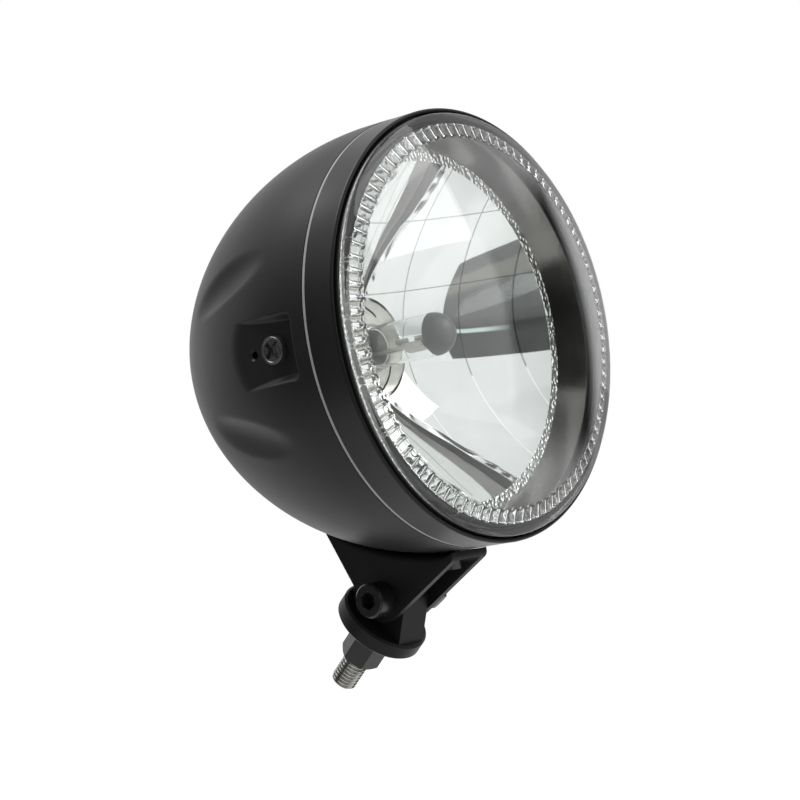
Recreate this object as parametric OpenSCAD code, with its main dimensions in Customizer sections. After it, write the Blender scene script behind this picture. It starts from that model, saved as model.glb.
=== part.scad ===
// Round motorcycle headlight on a tilting bottom bracket.
// Millimetres, +Z up, front of the lamp towards -Y.
// The origin is on the stud's axis, at the middle of its bare thread.

/* [Lamp body] */
// Outer diameter of the bucket and of the trim ring's band
body_d = 158.6; // [140:0.2:180]
// Thickness of the bucket's sheet
bucket_wall = 1.3; // [1:0.1:2]
// Depth behind the front plane where the bucket's side starts to curve in
shoulder_depth = 22; // [20:0.5:26]
// Radius of the bucket's flank, seen from the side
flank_r = 112; // [105:1:120]

/* [Side pockets and dents] */
// Depth of the side screws behind the front plane
side_screw_depth = 31; // [29:0.5:33]
// Height of a side pocket
pocket_h = 24; // [20:1:28]
// Depth from the bucket's side to a pocket's floor
pocket_sink = 3.8; // [3:0.1:4.4]
// Front end of a pocket, measured ahead of its screw
pocket_lead = 11; // [9:0.5:12]
// Rear end of a pocket, measured behind its screw
pocket_trail = 22; // [18:0.5:24]
// Radius of the small drain hole in a pocket
drain_r = 1.3; // [1:0.1:2]
// Drain hole's distance behind the screw
drain_offset = 11; // [9:0.5:14]
// Depth of a pressed dent
dent_sink = 2.4; // [1.5:0.1:3]
// Radius across a pressed dent
dent_r = 12; // [10:0.5:16]
// Depth of the dents' middle behind the front plane
dent_depth = 58; // [54:1:62]
// Angle of the dents above and below the side
dent_angle = 22; // [20:1:28]
// Angle by which the dents converge towards the back
dent_twist = 9; // [0:1:14]

/* [Trim ring and glass] */
// Length of the trim ring from its front edge
trim_depth = 12.4; // [11:0.1:15]
// Thickness of the trim ring's sheet
trim_wall = 1.3; // [1:0.1:1.6]
// Radius of the rolled front edge
bead_r = 1.5; // [1.3:0.1:1.8]
// Thickness of the gasket between trim ring and bucket
joint_gap = 1; // [0.6:0.1:1.6]
// Radius of the glass dome
dome_r = 210; // [180:5:260]
// Thickness of the glass
glass_wall = 3; // [2.5:0.1:3.5]
// How far the glass stands out at the rolled edge
glass_proud = 2.2; // [1.5:0.1:3]
// Thickness of the glass flange
glass_flange = 2.2; // [1.8:0.1:2.6]
// Number of prisms in the ring round the glass
prism_count = 93; // [72:1:96]
// Radius of one prism
prism_r = 2; // [1.5:0.1:2.1]
// Length of one prism
prism_len = 6; // [4:0.5:6.5]
// Thickness of the gasket behind the glass
glass_gasket = 1.6; // [1:0.1:2.4]

/* [Reflector] */
// Focal length of the mirror bowl
focal = 25; // [23:0.5:28]
// Radial run of the outer mirror wall, from the glass to the band
mirror_wall_run = 4.5; // [3:0.5:6]
// Width of the band round the bowl's mouth
band_w = 4; // [2:0.5:6]
// Depth of the bowl's mouth behind the front plane
mouth_depth = 17; // [15:0.5:19]
// Thickness of the reflector's sheet
mirror_wall = 1.2; // [1:0.1:1.5]
// Radius of the bulb's hole
bulb_hole_r = 19.5; // [18:0.5:21]
// Length of the neck behind the bowl
neck_len = 6; // [4:0.5:8]
// Height of the mirror facets above the bowl
facet_step = 0.6; // [0.3:0.1:1]
// Width of a mirror facet
facet_w = 20; // [16:1:30]
// Height of a mirror facet
facet_h = 22; // [16:1:30]

/* [Bulb] */
// Radius of the bulb's glass
bulb_r = 8; // [7:0.5:9]
// Distance from the bulb's tip back to the bowl's focus
bulb_lead = 17.7; // [15:0.1:20]
// Thickness of the bulb's glass
bulb_wall = 0.9; // [0.6:0.1:1.2]
// Radius of the bulb's locating collar
collar_r = 21.5; // [20.5:0.5:22.5]
// Width of a terminal blade
blade_w = 7.8; // [6:0.1:8.2]

/* [Bracket] */
// Width over the bracket's two ears
bracket_w = 20.6; // [18:0.1:26]
// Thickness of the bracket's plate
plate_t = 3; // [2.5:0.1:3.4]
// Depth of the pivot behind the front plane
pivot_depth = 58.6; // [56:0.2:60]
// Drop of the pivot below the bucket's side
pivot_below = 12.8; // [12.2:0.1:17]
// Radius of the ears round the pivot
ear_r = 9; // [8.5:0.1:9.2]
// Front end of the bracket behind the front plane
bracket_front = 22.4; // [20:0.2:26]
// Rear end of the bracket behind the front plane
bracket_rear = 82; // [78:0.5:84]
// Radius of the ears' front corner
ear_corner_r = 2.8; // [2:0.1:3.5]
// Radius of the screws that hold the bracket
bracket_screw_r = 3; // [2.5:0.1:3]
// Depths of those screws behind the front plane
bracket_screw_front = 33; // [32:0.5:36]
// Distance from the front screw to the rear one
bracket_screw_pitch = 38; // [34:0.5:39]

/* [Pivot] */
// Radius of the pivot bolt
pivot_r = 4; // [3.5:0.1:4.2]
// Radius of the pivot bolt's head
pivot_head_r = 6.5; // [6:0.1:7]
// Height of the pivot bolt's head
pivot_head_h = 8; // [6:0.1:8.5]
// Across flats of the pivot nut
pivot_nut_af = 13; // [12:0.5:14]
// Height of the pivot nut
pivot_nut_h = 8; // [6:0.5:9]

/* [Swivel base and stud] */
// Tilt of the stud from upright
stud_tilt = 50; // [46:1:54]
// Distance from the pivot to the base's disc
disc_drop = 10.3; // [10.1:0.1:12]
// Radius of the base's disc
disc_r = 17.3; // [16:0.1:19]
// Thickness of the base's disc
disc_t = 6.7; // [6:0.1:9]
// Radius of the lug's top
lug_r = 8.4; // [7.5:0.1:8.8]
// Half of the lug's length where it meets the disc
lug_foot = 14.8; // [12:0.1:15.5]
// Clearance between the lug and each ear
lug_gap = 0.3; // [0.25:0.05:0.5]
// Radius of the stud
stud_r = 5; // [4:0.5:6]
// Distance from the pivot to the stud's tip
stud_reach = 46; // [42:0.5:60]
// Height of the hexagon nut on the stud
nut_h = 15.4; // [8:0.1:16]
// Across flats of that nut
nut_af = 14; // [14:0.5:17]
// Angle of that nut round the stud
nut_turn = -8; // [-30:1:30]

/* [Cable outlet] */
// Angle of the cable outlet below the lamp's axis
outlet_angle = 35; // [30:1:45]
// Radius of the hole for the grommet
outlet_r = 7; // [5:0.5:8]
// Radius of the grommet's bore
cable_r = 3.5; // [2.5:0.5:4]

/* [Hidden] */
$fn = 96;

// Clearance between seated pieces that are curved
seat_gap = 0.1;
// Clearance round screws and threads
screw_gap = 0.05;
// How much smaller the stud is drawn where a thread holds it
thread_depth = 0.5;
// Running clearance of the pivot bolt
pivot_gap = 0.05;
// How far a straight edge runs inside the arc that it meets
blend_gap = 0.02;
// Margin round a mirror facet, which keeps it off its neighbours
facet_gap = 0.3;
// Clearance between a screw and the holes it only passes through
hole_gap = 0.3;
// A cut's reach past a face
over = 1;
// Larger than the lamp on any side of its axis, for cutting regions
reach = body_d;

// Places that follow from the sizes above
body_r = body_d / 2;
pivot_drop = body_r + pivot_below;
exposed = stud_reach - disc_drop - disc_t - nut_h;
stud_chamfer = 1;
origin_drop = stud_reach - (exposed + stud_chamfer) / 2;
axis_back = pivot_depth + origin_drop * sin(stud_tilt);
axis_up = pivot_drop + origin_drop * cos(stud_tilt);

// Bucket: a flank arc and a crown arc that meet at crown_turn
crown_turn = 45;
flank_x = body_r - flank_r;
crown_r = flank_r + flank_x / cos(crown_turn);
crown_depth = shoulder_depth - flank_x * tan(crown_turn);
bucket_mouth = trim_depth + joint_gap;

// Small sizes that more than one piece needs
side_screw_r = 2.5;
tab_t = 1.5;
ring_t = 1.2;
stiffener_t = 2;
washer_t = 1.6;
// Distance from the pivot to the stud's upper end, inside the lug
stud_top = 6.5;

// Depths behind the front plane, from the glass to the reflector
flange_front = 2 * bead_r + 0.2;
flange_rear = flange_front + glass_flange;
mirror_front = flange_rear + glass_gasket;
band_inner_r = body_r - trim_wall;
insert_r = band_inner_r - 0.4;
glass_r = body_r - 2 * bead_r - 0.3;
mirror_front_r = glass_r - glass_wall - 1.5;
band_r = mirror_front_r - mirror_wall_run;
mouth_r = band_r - band_w;
dome_depth = sqrt(dome_r * dome_r - glass_r * glass_r) - glass_proud;
vertex_depth = mouth_depth + mouth_r * mouth_r / (4 * focal);
bulb_tip_depth = vertex_depth - focal - bulb_lead;
neck_front = vertex_depth - bulb_hole_r * bulb_hole_r / (4 * focal);
seat_depth = neck_front + neck_len;
collar_t = 1.2;
// Width of the flange that ends the reflector's neck
neck_flange = 5;
socket_r = 13;
socket_len = 11;
blade_len = 12;
pocket_floor = body_r - pocket_sink;

pivot_y = pivot_depth - axis_back;
pivot_z = axis_up - pivot_drop;

function polar(r, a) = [r * cos(a), r * sin(a)];
// Direction of the outer tangent's normal between circles a and b, on the side given
function tangent_turn(a, ra, b, rb, side) =
    let (d = b - a) atan2(d.y, d.x) + side * acos((ra - rb) / norm(d));
// Centre of the circle through three points
function centre_of(a, b, c) =
    let (
        p = b - a, q = c - a, k = 2 * (p.x * q.y - p.y * q.x),
        pp = p * p, qq = q * q
    ) a + [q.y * pp - p.y * qq, p.x * qq - q.x * pp] / k;
// Depth of the mirror bowl at a radius
function bowl_depth(r) = vertex_depth - r * r / (4 * focal);
// Radius and lean of the bucket's flank at a depth
function flank_lean(depth) = asin((depth - shoulder_depth) / flank_r);
function flank_radius(depth) = flank_x + flank_r * cos(flank_lean(depth));

// Frames: the lamp's axis at the front plane, the same turned for revolved pieces,
// and the stud's axis at the pivot with the stud along local -Z
module at_lamp() { translate([0, -axis_back, axis_up]) children(); }
module revolved() { at_lamp() rotate([-90, 0, 0]) rotate_extrude() children(); }
module at_pivot() { translate([0, pivot_y, pivot_z]) rotate([stud_tilt, 0, 0]) children(); }
module both_sides() { children(); mirror([1, 0, 0]) children(); }
// A ring's section between two radii and two depths
module section(r_in, r_out, front, rear) {
    translate([r_in, front]) square([r_out - r_in, rear - front]);
}
// A frame on the bucket's underside at a depth, with local -Z pointing out of the bucket
module at_underside(depth) {
    at_lamp() translate([0, depth, -flank_radius(depth)])
        rotate([flank_lean(depth), 0, 0]) children();
}
// A round-cornered rectangle
module rounded(w, h, r) {
    square([w - 2 * r, h], center = true);
    square([w, h - 2 * r], center = true);
    for (x = [-1, 1], y = [-1, 1]) translate([x * (w / 2 - r), y * (h / 2 - r)]) circle(r);
}

// Half of the bucket's section, filled, and smaller all round by inset. Each round stretch
// starts inside the one ahead of it, and is a hair smaller, so that they cross cleanly.
module bucket_half(inset) {
    flank_start = shoulder_depth - over;
    crown_start = crown_depth - over;
    section(0, body_r - inset, bucket_mouth, shoulder_depth);
    intersection() {
        translate([flank_x, shoulder_depth]) circle(flank_r - blend_gap - inset);
        polygon([
            [0, flank_start], [reach, flank_start], [reach, crown_depth + reach], [0, crown_depth]]);
    }
    intersection() {
        translate([0, crown_depth]) circle(crown_r - 2 * blend_gap - inset);
        polygon([[0, crown_start], [reach, crown_start + reach], [0, crown_start + reach]]);
    }
}

// Outline of a side pocket, grown by a margin, as a block from a plane outwards
module pocket_block(margin, floor_x) {
    length = pocket_lead + pocket_trail;
    corner_r = 3;
    at_lamp() translate([-reach, side_screw_depth + (pocket_trail - pocket_lead) / 2, 0])
        rotate([0, 90, 0]) linear_extrude(reach - floor_x)
            rounded(pocket_h + 2 * margin, length + 2 * margin, corner_r + margin);
}
// Round tool of one dent, larger by a margin
module dent_tool(above, margin) {
    lean = flank_lean(dent_depth);
    lift = dent_r - dent_sink;
    at_lamp() rotate([0, above * dent_angle, 0])
        translate([-flank_radius(dent_depth) - lift * cos(lean), dent_depth + lift * sin(lean), 0])
            rotate([0, 0, -lean]) rotate([-90 - above * dent_twist, 0, 0])
                cylinder(h = body_r, r = dent_r + margin, center = true);
}
module side_tools(margin) {
    pocket_block(margin, pocket_floor - margin);
    dent_tool(1, margin);
    dent_tool(-1, margin);
}
module side_hole(depth, r) {
    at_lamp() translate([0, depth, 0]) rotate([0, 90, 0])
        cylinder(h = 2 * reach, r = r, center = true);
}
module bucket() {
    color([0.11, 0.11, 0.11]) difference() {
        union() {
            revolved() difference() {
                bucket_half(0);
                bucket_half(bucket_wall);
                section(0, body_r - bucket_wall, bucket_mouth - over, bucket_mouth + over);
            }
            intersection() {
                revolved() bucket_half(bucket_wall / 2);
                both_sides() side_tools(bucket_wall);
            }
        }
        both_sides() side_tools(0);
        side_hole(side_screw_depth, side_screw_r + hole_gap);
        side_hole(side_screw_depth + drain_offset, drain_r);
        for (k = [0, 1]) at_underside(bracket_screw_front + k * bracket_screw_pitch)
            cylinder(h = 4 * bucket_wall, r = bracket_screw_r + hole_gap, center = true);
        at_outlet() cylinder(h = crown_r + over, r = outlet_r);
    }
}

module bucket_gasket() {
    color([0.5, 0.52, 0.52]) revolved()
        section(body_r - bucket_wall, body_r - 0.1, trim_depth, bucket_mouth);
}

module trim_ring() {
    color([0.1, 0.1, 0.1]) revolved() {
        section(band_inner_r, body_r - 0.05, bead_r, trim_depth);
        translate([body_r - bead_r, bead_r]) circle(bead_r);
    }
}

// Glass: dome, side wall, flange, and the prisms on the inside of its rim
module lens() {
    prism_margin = 0.6;
    prism_ring_r = glass_r - glass_wall - prism_margin - prism_len / 2;
    lean = asin(prism_ring_r / dome_r);
    inner_r = dome_r - glass_wall;
    color([0.85, 0.92, 0.92, 0.4]) {
        revolved() {
            difference() {
                intersection() {
                    translate([0, dome_depth]) circle(dome_r);
                    section(0, glass_r, -dome_r, flange_rear);
                }
                intersection() {
                    translate([0, dome_depth]) circle(inner_r);
                    section(-over, glass_r - glass_wall, -dome_r, flange_rear + over);
                }
            }
            section(glass_r - over, insert_r, flange_front, flange_rear);
        }
        at_lamp() rotate([-90, 0, 0]) for (i = [0 : prism_count - 1])
            rotate([0, 0, i * 360 / prism_count])
                translate([prism_ring_r, 0, dome_depth - inner_r * cos(lean)])
                    rotate([0, 90 - lean, 0])
                        cylinder(h = prism_len, r = prism_r, center = true, $fn = 16);
    }
}

module lens_gasket() {
    inner_r = glass_r - glass_wall + 0.3;
    color([0.08, 0.08, 0.08]) revolved() section(inner_r, insert_r, flange_rear, mirror_front);
}

// Mirror bowl as one arc through three points of its parabola
module bowl_arc(grow) {
    low = [bulb_hole_r, bowl_depth(bulb_hole_r)];
    mid_r = (bulb_hole_r + mouth_r) / 2;
    middle = [mid_r, bowl_depth(mid_r)];
    high = [mouth_r, mouth_depth];
    centre = centre_of(low, middle, high);
    translate(centre) circle(norm(low - centre) + grow);
}
module bowl_shell(from, to) {
    intersection() {
        difference() {
            bowl_arc(to);
            bowl_arc(from);
        }
        section(bulb_hole_r, mouth_r, mouth_depth - over, vertex_depth + 2);
    }
}
// Every second cell of a grid, as blocks along the lamp's axis
module facet_grid() {
    columns = ceil(mouth_r / facet_w);
    rows = ceil(mouth_r / facet_h);
    at_lamp() for (i = [-columns : columns], j = [-rows : rows])
        if ((i + j) % 2 == 0) translate([i * facet_w + facet_gap, 0, j * facet_h + facet_gap])
            cube([facet_w - 2 * facet_gap, vertex_depth + 5, facet_h - 2 * facet_gap]);
}

module reflector() {
    wall_r = mirror_front_r;
    rear = mouth_depth + mirror_wall;
    color([0.75, 0.78, 0.77]) {
        revolved() {
            section(wall_r, insert_r, mirror_front, mirror_front + mirror_wall);
            polygon([
                [wall_r, mirror_front], [wall_r + mirror_wall, mirror_front],
                [band_r + mirror_wall, rear], [band_r, rear], [band_r, mouth_depth]]);
            section(mouth_r - mirror_wall, band_r + mirror_wall / 2, mouth_depth, rear);
            bowl_shell(0, mirror_wall);
            section(bulb_hole_r, bulb_hole_r + mirror_wall, neck_front - 0.5, seat_depth);
            section(bulb_hole_r, bulb_hole_r + neck_flange, seat_depth - mirror_wall, seat_depth);
        }
        intersection() {
            revolved() bowl_shell(-facet_step, mirror_wall / 2);
            facet_grid();
        }
    }
}

// Steel ring behind the reflector's rim, with a tab to each side screw
module mounting_ring() {
    front = mirror_front + mirror_wall;
    tab_w = 14;
    tab_x = pocket_floor - bucket_wall - 0.1;
    color([0.6, 0.6, 0.58]) difference() {
        union() {
            revolved() section(mirror_front_r + mirror_wall + 0.4, insert_r, front, front + ring_t);
            both_sides() at_lamp() translate([-tab_x, front, -tab_w / 2]) {
                cube([tab_t, side_screw_depth - front, tab_w]);
                translate([0, side_screw_depth - front, tab_w / 2]) rotate([0, 90, 0])
                    cylinder(h = tab_t, r = tab_w / 2);
            }
        }
        side_hole(side_screw_depth, side_screw_r + screw_gap);
    }
}

// Four bent strips between the mounting ring and the trim ring's inner wall
module insert_clips() {
    front = mirror_front + mirror_wall + ring_t;
    width = 10;
    strip_t = 0.8;
    foot = 4.2;
    outer_r = insert_r + 0.2;
    tail = 6;
    rear = bucket_mouth + tail;
    color([0.65, 0.65, 0.62]) at_lamp() for (a = [45 : 90 : 315])
        rotate([0, a, 0]) translate([0, front, -width / 2]) {
            translate([outer_r - foot, 0, 0]) cube([foot, strip_t, width]);
            translate([outer_r - strip_t, 0, 0]) cube([strip_t, rear - front, width]);
        }
}

module side_screws() {
    head_r = 5.2;
    head_h = 3.2;
    length = 11;
    dome = head_r * 1.4;
    cross_w = 1.2;
    cross_len = 5.8;
    cross_sink = 2;
    color([0.16, 0.16, 0.16]) both_sides() at_lamp() translate([-pocket_floor, side_screw_depth, 0])
        rotate([0, -90, 0]) difference() {
            union() {
                rotate_extrude() intersection() {
                    translate([0, head_h - dome]) circle(dome);
                    section(0, head_r, 0, head_h);
                }
                translate([0, 0, -length]) cylinder(h = length + 0.5, r = side_screw_r);
            }
            for (a = [0, 90]) rotate([0, 0, a])
                translate([-cross_len / 2, -cross_w / 2, head_h - cross_sink])
                    cube([cross_len, cross_w, cross_sink + over]);
        }
}
module side_nuts() {
    inner_x = pocket_floor - bucket_wall - 0.1 - tab_t;
    af = 8;
    height = 4;
    color([0.6, 0.6, 0.58]) both_sides() at_lamp() translate([-inner_x, side_screw_depth, 0])
        rotate([0, 90, 0]) hex_nut(af, height, side_screw_r + screw_gap);
}
// A hexagon nut with chamfered ends, standing on z = 0
module hex_nut(af, h, bore_r) {
    corner = af / sqrt(3);
    bevel = (corner - af / 2) * 0.55;
    difference() {
        intersection() {
            cylinder(h = h, r = corner, $fn = 6);
            rotate_extrude() polygon([
                [0, 0], [af / 2, 0], [corner, bevel], [corner, h - bevel], [af / 2, h], [0, h]]);
        }
        translate([0, 0, -over]) cylinder(h = h + 2 * over, r = bore_r);
    }
}

// Bulb glass: a tube with a round tip, open at its base
module bulb_glass() {
    color([0.9, 0.95, 0.95, 0.5]) revolved() difference() {
        union() {
            section(0, bulb_r, bulb_tip_depth + bulb_r, seat_depth - 1);
            intersection() {
                translate([0, bulb_tip_depth + bulb_r]) circle(bulb_r);
                section(0, bulb_r, bulb_tip_depth, bulb_tip_depth + bulb_r);
            }
        }
        section(0, bulb_r - bulb_wall, bulb_tip_depth + bulb_r, seat_depth);
        intersection() {
            translate([0, bulb_tip_depth + bulb_r]) circle(bulb_r - bulb_wall);
            section(0, bulb_r, bulb_tip_depth, bulb_tip_depth + bulb_r);
        }
    }
}
// Wires, shield cup and two filaments, standing on the socket
module bulb_filaments() {
    focus = vertex_depth - focal;
    wire_r = 0.6;
    wire_x = 4;
    wire_z = -2.5;
    wire_front = focus - 6;
    coil_r = 0.9;
    coil_len = 5;
    cup_r = 5;
    cup_wall = 0.7;
    cup_len = 9;
    cup_z = 1.2;
    color([0.55, 0.53, 0.5]) at_lamp() {
        for (x = [-wire_x, 0, wire_x]) translate([x, wire_front, wire_z]) rotate([-90, 0, 0])
            cylinder(h = seat_depth - 1 - wire_front, r = wire_r, $fn = 24);
        translate([-wire_x, wire_front, wire_z]) rotate([0, 90, 0])
            cylinder(h = 2 * wire_x, r = wire_r, $fn = 24);
        for (y = [-4, 6]) translate([0, focus + y, wire_z]) cylinder(h = -wire_z, r = wire_r, $fn = 24);
        for (y = [-6, 3]) translate([0, focus + y, 0]) rotate([-90, 0, 0])
            cylinder(h = coil_len, r = coil_r, $fn = 24);
        translate([0, focus - 7, 0]) rotate([-90, 0, 0]) intersection() {
            difference() {
                cylinder(h = cup_len, r = cup_r);
                translate([0, 0, -over]) cylinder(h = cup_len + 2 * over, r = cup_r - cup_wall);
            }
            translate([-cup_r - over, cup_z, 0]) cube([2 * (cup_r + over), cup_r + over, cup_len]);
        }
    }
}
module bulb_collar() {
    cup_wall = 1;
    cup_len = 8;
    inner_r = bulb_r + seat_gap;
    rear = seat_depth + collar_t;
    ear_w = 8;
    ear_root = bulb_hole_r - 4;
    color([0.7, 0.7, 0.68]) {
        revolved() {
            section(inner_r, bulb_hole_r - 1.5, seat_depth, rear);
            section(inner_r, inner_r + cup_wall, seat_depth - cup_len, rear);
        }
        at_lamp() rotate([-90, 0, 0]) translate([0, 0, seat_depth]) linear_extrude(collar_t)
            for (a = [90, 210, 330]) rotate(a) translate([ear_root, -ear_w / 2])
                square([collar_r - ear_root, ear_w]);
    }
}
module bulb_socket() {
    color([0.85, 0.84, 0.8]) revolved() {
        section(0, bulb_r - 0.2, seat_depth - 1, seat_depth + collar_t);
        section(0, socket_r, seat_depth + collar_t, seat_depth + socket_len);
    }
}
module bulb_terminals() {
    root = seat_depth + socket_len;
    blade_t = 0.8;
    side_x = 7.5;
    top_z = 7;
    color([0.75, 0.72, 0.6]) at_lamp() {
        for (x = [-side_x, side_x - blade_t]) translate([x, root, -blade_w / 2])
            cube([blade_t, blade_len, blade_w]);
        translate([-blade_w / 2, root, top_z]) cube([blade_w, blade_len, blade_t]);
    }
}
// Wire clip over the collar, with two arms to the neck's flange
module bulb_clip() {
    wire = 0.7;
    loop_r = bulb_hole_r - 3;
    opening = 60;
    arm_len = 7;
    height = seat_depth + collar_t + wire;
    color([0.7, 0.7, 0.68]) at_lamp() rotate([-90, 0, 0]) translate([0, 0, height]) {
        rotate([0, 0, -opening]) rotate_extrude(angle = 360 - opening)
            translate([loop_r, 0]) circle(wire, $fn = 24);
        for (side = [-1, 1]) rotate([0, 0, -90 + side * opening / 2]) translate([loop_r, 0, 0])
            rotate([0, 90, 0]) cylinder(h = arm_len, r = wire, $fn = 24);
    }
}
// Rubber cover: a cup from the neck's flange to the socket
module bulb_boot() {
    wall = 2;
    front = seat_depth + collar_t + 2;
    lip_r = bulb_hole_r + neck_flange + wall;
    rear = seat_depth + socket_len - 1;
    neck_r = socket_r + 0.2;
    collar_len = 5;
    color([0.09, 0.09, 0.09]) revolved() {
        section(lip_r - wall + seat_gap, lip_r, seat_depth - mirror_wall, front + wall);
        polygon([
            [lip_r, front], [lip_r, front + wall], [neck_r + 4.8, rear], [neck_r, rear],
            [neck_r, rear - wall], [neck_r + 3.8, rear - wall], [lip_r - wall, front]]);
        section(neck_r, neck_r + wall + 0.2, rear - wall, rear + collar_len);
    }
}

// Bracket: a web that follows the bucket's underside, and two ears that taper to the pivot
module web_region(from, to, half_w, front, rear) {
    intersection() {
        revolved() difference() {
            bucket_half(-to);
            bucket_half(-from);
        }
        at_lamp() translate([-half_w, front, -reach])
            cube([2 * half_w, rear - front, reach - body_r / 2]);
    }
}
module ear_outline() {
    pivot = [pivot_depth, -pivot_drop];
    corner = [bracket_front + ear_corner_r, -flank_radius(bracket_front + ear_corner_r) - 1.4];
    tail = [bracket_rear, -flank_radius(bracket_rear) + 0.5];
    front_turn = tangent_turn(pivot, ear_r, corner, ear_corner_r, 1);
    rear_turn = tangent_turn(pivot, ear_r, tail, 0, -1);
    ear_blend = ear_r - blend_gap;
    corner_blend = ear_corner_r - blend_gap;
    translate(pivot) circle(ear_r);
    translate(corner) circle(ear_corner_r);
    polygon([
        pivot + polar(ear_blend, front_turn), corner + polar(corner_blend, front_turn),
        corner - [corner_blend, 0], [bracket_front + blend_gap, -body_r / 2],
        [bracket_rear, -body_r / 2], tail, pivot + polar(ear_blend, rear_turn)]);
}
module bracket() {
    web_front = bracket_front + ear_corner_r / 2;
    color([0.1, 0.1, 0.1]) difference() {
        union() {
            web_region(seat_gap, seat_gap + plate_t, bracket_w / 2, web_front, bracket_rear - 1);
            both_sides() at_lamp() translate([-bracket_w / 2, 0, 0]) rotate([90, 0, 90])
                linear_extrude(plate_t) ear_outline();
        }
        revolved() bucket_half(-seat_gap);
        at_lamp() translate([0, pivot_depth, -pivot_drop]) rotate([0, 90, 0])
            cylinder(h = 2 * bracket_w, r = pivot_r + pivot_gap, center = true);
        for (k = [0, 1]) at_underside(bracket_screw_front + k * bracket_screw_pitch)
            cylinder(h = 4 * plate_t, r = bracket_screw_r + hole_gap, center = true);
    }
}
module bracket_plate() {
    front = bracket_screw_front - 8;
    rear = bracket_screw_front + bracket_screw_pitch + 7;
    half_w = 14;
    outer = bucket_wall + seat_gap;
    color([0.55, 0.55, 0.53]) difference() {
        web_region(-outer - stiffener_t, -outer, half_w, front, rear);
        for (k = [0, 1]) at_underside(bracket_screw_front + k * bracket_screw_pitch)
            cylinder(h = 6 * bucket_wall, r = bracket_screw_r + hole_gap, center = true);
    }
}
module bracket_screws() {
    head_h = 3.5;
    head_r = 5;
    head_seat = plate_t + seat_gap;
    stack = head_seat + bucket_wall + seat_gap + stiffener_t;
    tail = 7.5;
    color([0.2, 0.2, 0.2]) for (k = [0, 1])
        at_underside(bracket_screw_front + k * bracket_screw_pitch) {
            translate([0, 0, -head_seat - head_h]) cylinder(h = head_h, r = head_r);
            translate([0, 0, -head_seat - 0.5]) cylinder(h = stack + tail, r = bracket_screw_r);
        }
}
module bracket_nuts() {
    seat = bucket_wall + seat_gap + stiffener_t + 0.4;
    af = 10;
    height = 5;
    color([0.6, 0.6, 0.58]) for (k = [0, 1])
        at_underside(bracket_screw_front + k * bracket_screw_pitch)
            translate([0, 0, seat]) hex_nut(af, height, bracket_screw_r + screw_gap);
}

// Pivot bolt along X, with a hexagon socket in its head
module pivot_bolt() {
    socket_af = 6;
    socket_depth = 4.5;
    edge = 0.7;
    length = bracket_w + washer_t + pivot_nut_h + 1.6;
    color([0.16, 0.16, 0.16]) translate([-bracket_w / 2, pivot_y, pivot_z])
        rotate([0, 90, 0]) difference() {
            rotate_extrude() polygon([
                [0, -pivot_head_h], [pivot_head_r - edge, -pivot_head_h],
                [pivot_head_r, edge - pivot_head_h], [pivot_head_r, 0], [pivot_r, 0],
                [pivot_r, length - edge], [pivot_r - edge, length], [0, length]]);
            translate([0, 0, -pivot_head_h - over])
                cylinder(h = socket_depth + over, r = socket_af / sqrt(3), $fn = 6);
        }
}
module pivot_washer() {
    washer_r = 2 * pivot_r;
    color([0.14, 0.14, 0.14]) translate([bracket_w / 2, pivot_y, pivot_z])
        rotate([0, 90, 0]) difference() {
            cylinder(h = washer_t, r = washer_r);
            translate([0, 0, -over]) cylinder(h = washer_t + 2 * over, r = pivot_r + 0.2);
        }
}
module pivot_nut() {
    color([0.13, 0.13, 0.13]) translate([bracket_w / 2 + washer_t, pivot_y, pivot_z]) rotate([0, 90, 0])
        hex_nut(pivot_nut_af, pivot_nut_h, pivot_r + screw_gap);
}

// Swivel base: a disc square to the stud, and a lug that flares from the pivot to the disc
module swivel_base() {
    edge = 0.8;
    lug_w = bracket_w - 2 * plate_t - 2 * lug_gap;
    lug_blend = lug_r - blend_gap;
    foot_turn = acos(lug_r / norm([lug_foot, disc_drop]));
    foot_angle = atan2(-disc_drop, lug_foot);
    color([0.12, 0.12, 0.12]) at_pivot() difference() {
        union() {
            translate([0, 0, -disc_drop - disc_t]) rotate_extrude() polygon([
                [0, 0], [disc_r - edge, 0], [disc_r, edge], [disc_r, disc_t - edge],
                [disc_r - edge, disc_t], [0, disc_t]]);
            translate([-lug_w / 2, 0, 0]) rotate([90, 0, 90]) linear_extrude(lug_w) {
                circle(lug_r);
                polygon([
                    polar(lug_blend, foot_angle + foot_turn), [lug_foot, -disc_drop],
                    [lug_foot, -disc_drop - disc_t / 2], [-lug_foot, -disc_drop - disc_t / 2],
                    [-lug_foot, -disc_drop], polar(lug_blend, 180 - foot_angle - foot_turn)]);
            }
        }
        rotate([0, 90, 0]) cylinder(h = 2 * bracket_w, r = pivot_r + pivot_gap, center = true);
        translate([0, 0, -disc_drop - disc_t - over])
            cylinder(h = disc_drop + disc_t + over - stud_top, r = stud_r - thread_depth + screw_gap);
    }
}

module stud() {
    nut_face = -disc_drop - disc_t - nut_h;
    held_r = stud_r - thread_depth;
    color([0.62, 0.62, 0.6]) at_pivot() rotate_extrude() polygon([
        [0, -stud_reach], [stud_r - stud_chamfer, -stud_reach], [stud_r, stud_chamfer - stud_reach],
        [stud_r, nut_face], [held_r, nut_face], [held_r, -stud_top - stud_chamfer],
        [held_r - stud_chamfer, -stud_top], [0, -stud_top]]);
}
module stud_nut() {
    color([0.11, 0.11, 0.11]) at_pivot() translate([0, 0, -disc_drop - disc_t - nut_h])
        rotate([0, 0, nut_turn]) hex_nut(nut_af, nut_h, stud_r - thread_depth + screw_gap);
}

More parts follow.
